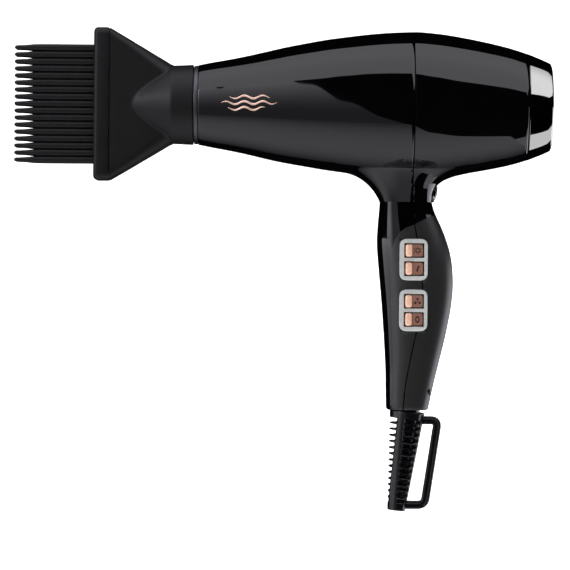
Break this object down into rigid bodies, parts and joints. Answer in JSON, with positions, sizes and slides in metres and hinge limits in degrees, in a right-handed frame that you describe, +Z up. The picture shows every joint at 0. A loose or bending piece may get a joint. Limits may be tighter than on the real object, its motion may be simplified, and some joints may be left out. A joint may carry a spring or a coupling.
{
  "type": "hair dryer",
  "caption": "Pistol-grip hair dryer with a tapered barrel, side keys on the handle, a lift-off rear filter cap, a hanging loop and a push-on pick-comb attachment.",
  "frame": {"origin": "centre of the air outlet mouth, on the air axis", "axes": "+X along the air axis from the outlet to the intake, +Z up away from the handle, keys on the -Y side"},
  "size_m": [0.3221, 0.0894, 0.2885],
  "materials": {
    "gloss_black": "glossy injection-moulded shell, satin grip area",
    "heat_resin": "heat-resistant matte",
    "trim_grey": "satin grey trim",
    "chrome": "polished",
    "grille_black": "fine matte",
    "steel": "drawn steel",
    "mesh_steel": "woven wire",
    "mica": "mica sheet",
    "heat_wire": "oxidised resistance wire",
    "ceramic": "unglazed ceramic",
    "copper": "enamelled copper",
    "brass": "machined",
    "bronze": "sintered bronze",
    "carbon": "graphite",
    "motor_iron": "laminated iron",
    "motor_black": "glass-filled nylon",
    "fan_white": "natural nylon",
    "bezel_grey": "light grey, soft gloss",
    "key_copper": "rose copper metallic paint",
    "switch_black": "matte",
    "dome_rubber": "silicone rubber",
    "guard_rubber": "soft black rubber",
    "wire_skin": "silicone insulation",
    "comb_black": "matte heat-resistant nylon",
    "snap_steel": "spring steel"
  },
  "bodies": {
    "housing": {"front_housing": "gloss_black", "rear_housing": "gloss_black", "outlet_collar": "heat_resin", "outlet_trim_ring": "trim_grey", "outlet_grille": "heat_resin", "mica_liner": "mica", "heater_former": "mica", "heating_coils": "heat_wire", "thermal_cutout": "steel", "thermal_fuse": "ceramic", "terminal_block": "ceramic", "lead_wires": "wire_skin", "fan_duct": "motor_black", "motor_stator": "motor_iron", "field_windings": "copper", "motor_front_bracket": "motor_black", "motor_rear_bracket": "motor_black", "front_bearing": "bronze", "rear_bearing": "bronze", "brush_holders": "brass", "carbon_brushes": "carbon", "brush_springs": "steel", "rear_guard": "grille_black", "upper_bezel": "bezel_grey", "lower_bezel": "bezel_grey", "heat_dome": "dome_rubber", "run_dome": "dome_rubber", "fan_dome": "dome_rubber", "off_dome": "dome_rubber", "upper_switch_unit": "switch_black", "lower_switch_unit": "switch_black", "cool_shot_ring": "chrome", "cool_shot_spring": "steel", "cool_shot_switch": "switch_black", "cord_guard": "guard_rubber", "cord_clamp": "motor_black", "clamp_screws": "steel", "housing_screws": "steel", "screw_caps": "gloss_black"},
    "attachment_ring": {"attachment_snap_ring": "snap_steel"},
    "comb": {"nozzle_funnel": "comb_black", "comb_plate": "comb_black"},
    "fan_rotor": {"motor_shaft": "steel", "armature": "motor_iron", "armature_windings": "copper", "commutator": "copper", "fan_impeller": "fan_white", "fan_nut": "brass"},
    "rear_cap": {"rear_cap_ring": "chrome", "rear_cap_grille": "grille_black", "filter_mesh": "mesh_steel"},
    "heat_key": {"heat_key": "key_copper"},
    "run_key": {"run_key": "key_copper"},
    "fan_key": {"fan_key": "key_copper"},
    "off_key": {"off_key": "key_copper"},
    "cool_shot_button": {"cool_shot_button": "gloss_black"}
  },
  "joints": [
    {"name": "attachment_pull", "type": "slide", "parent": "housing", "child": "attachment_ring", "axis": [-1, 0, 0], "range_m": [0, 0.03]},
    {"name": "attachment_turn", "type": "hinge", "parent": "attachment_ring", "child": "comb", "pos_m": [0.008, 0, 0], "axis": [1, 0, 0], "continuous": true},
    {"name": "rear_cap_pull", "type": "slide", "parent": "housing", "child": "rear_cap", "axis": [1, 0, 0], "range_m": [0, 0.025]},
    {"name": "fan_spin", "type": "hinge", "parent": "housing", "child": "fan_rotor", "pos_m": [0.15, 0, 0], "axis": [1, 0, 0], "continuous": true},
    {"name": "heat_key_press", "type": "hinge", "parent": "housing", "child": "heat_key", "pos_m": [0.1532, -0.0162, -0.0865], "axis": [0, 0, -1], "range_deg": [0, 8], "stiffness_Nm_per_rad": 0.12, "springref_deg": -3.44, "deforming": ["heat_dome"]},
    {"name": "run_key_press", "type": "hinge", "parent": "housing", "child": "run_key", "pos_m": [0.1532, -0.0162, -0.0973], "axis": [0, 0, -1], "range_deg": [0, 8], "stiffness_Nm_per_rad": 0.12, "springref_deg": -3.44, "deforming": ["run_dome"]},
    {"name": "fan_key_press", "type": "hinge", "parent": "housing", "child": "fan_key", "pos_m": [0.1532, -0.0162, -0.1167], "axis": [0, 0, -1], "range_deg": [0, 8], "stiffness_Nm_per_rad": 0.12, "springref_deg": -3.44, "deforming": ["fan_dome"]},
    {"name": "off_key_press", "type": "hinge", "parent": "housing", "child": "off_key", "pos_m": [0.1532, -0.0162, -0.1275], "axis": [0, 0, -1], "range_deg": [0, 8], "stiffness_Nm_per_rad": 0.12, "springref_deg": -3.44, "deforming": ["off_dome"]},
    {"name": "cool_shot_press", "type": "slide", "parent": "housing", "child": "cool_shot_button", "axis": [-0.9703, 0, 0.2419], "range_m": [0, 0.0015], "stiffness_N_per_m": 900, "springref_m": -0.001, "deforming": ["cool_shot_spring"]}
  ]
}
